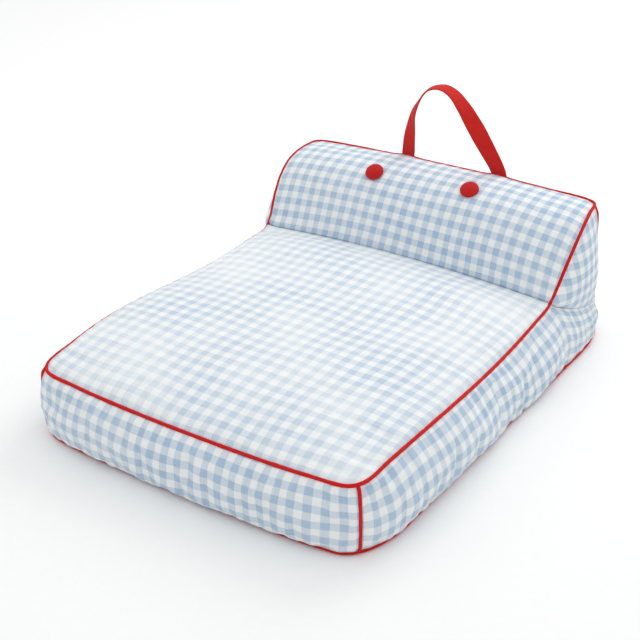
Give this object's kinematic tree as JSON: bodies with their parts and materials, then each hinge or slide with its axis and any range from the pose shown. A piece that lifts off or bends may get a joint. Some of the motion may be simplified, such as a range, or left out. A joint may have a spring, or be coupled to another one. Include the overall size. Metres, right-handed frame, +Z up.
{
  "type": "pet cushion bed",
  "caption": "Boxed cushion bed for a pet with a wedge headrest, piped seams, covered buttons and a webbing carrying handle.",
  "frame": {"origin": "on the floor, under the middle of the bed's bounding box", "axes": "+X to the right seen from the foot end, +Y towards the headrest, +Z up"},
  "size_m": [0.5526, 0.7015, 0.323],
  "materials": {
    "gingham_cover": "matte",
    "base_cloth": "matte",
    "lining_cloth": "matte",
    "red_piping": "matte",
    "red_webbing": "matte",
    "button_cloth": "matte",
    "sewing_thread": "matte",
    "button_metal": "satin",
    "zip_nylon": "satin",
    "zip_metal": "polished"
  },
  "bodies": {
    "cover": {"top_panel": "gingham_cover", "backrest_panel": "gingham_cover", "front_panel": "gingham_cover", "side_panel_left": "gingham_cover", "side_panel_right": "gingham_cover", "gusset_left": "gingham_cover", "gusset_right": "gingham_cover", "back_panel_upper": "gingham_cover", "back_panel_lower": "gingham_cover", "bottom_panel": "base_cloth", "partition_panel": "lining_cloth", "mattress_insert": "lining_cloth", "headrest_insert": "lining_cloth", "button_washer_left": "lining_cloth", "button_washer_right": "lining_cloth", "piping_upper": "red_piping", "piping_lower": "red_piping", "piping_corner_front_left": "red_piping", "piping_corner_front_right": "red_piping", "piping_corner_rear_left": "red_piping", "piping_corner_rear_right": "red_piping", "button_cover_left": "button_cloth", "button_shell_left": "button_metal", "button_back_plate_left": "button_metal", "button_thread_left": "sewing_thread", "button_cover_right": "button_cloth", "button_shell_right": "button_metal", "button_back_plate_right": "button_metal", "button_thread_right": "sewing_thread", "zip_tape_upper": "zip_nylon", "zip_tape_lower": "zip_nylon", "zip_coil_upper": "zip_nylon", "zip_coil_lower": "zip_nylon", "zip_stop_left": "zip_metal", "zip_stop_right": "zip_metal"},
    "handle": {"handle_strap": "red_webbing"},
    "zip_slider": {"zip_slider": "zip_metal"},
    "zip_pull": {"zip_pull": "zip_metal"}
  },
  "joints": [
    {"name": "handle_fold", "type": "hinge", "parent": "cover", "child": "handle", "pos_m": [0, 0.331, 0.2007], "axis": [1, 0, 0], "range_deg": [-120, 42]},
    {"name": "zip_slide", "type": "slide", "parent": "cover", "child": "zip_slider", "axis": [1, 0, 0], "range_m": [0, 0.356]},
    {"name": "pull_swing", "type": "hinge", "parent": "zip_slider", "child": "zip_pull", "pos_m": [-0.178, 0.34723, 0.05], "axis": [0, 0, 1], "range_deg": [0, 170]}
  ]
}
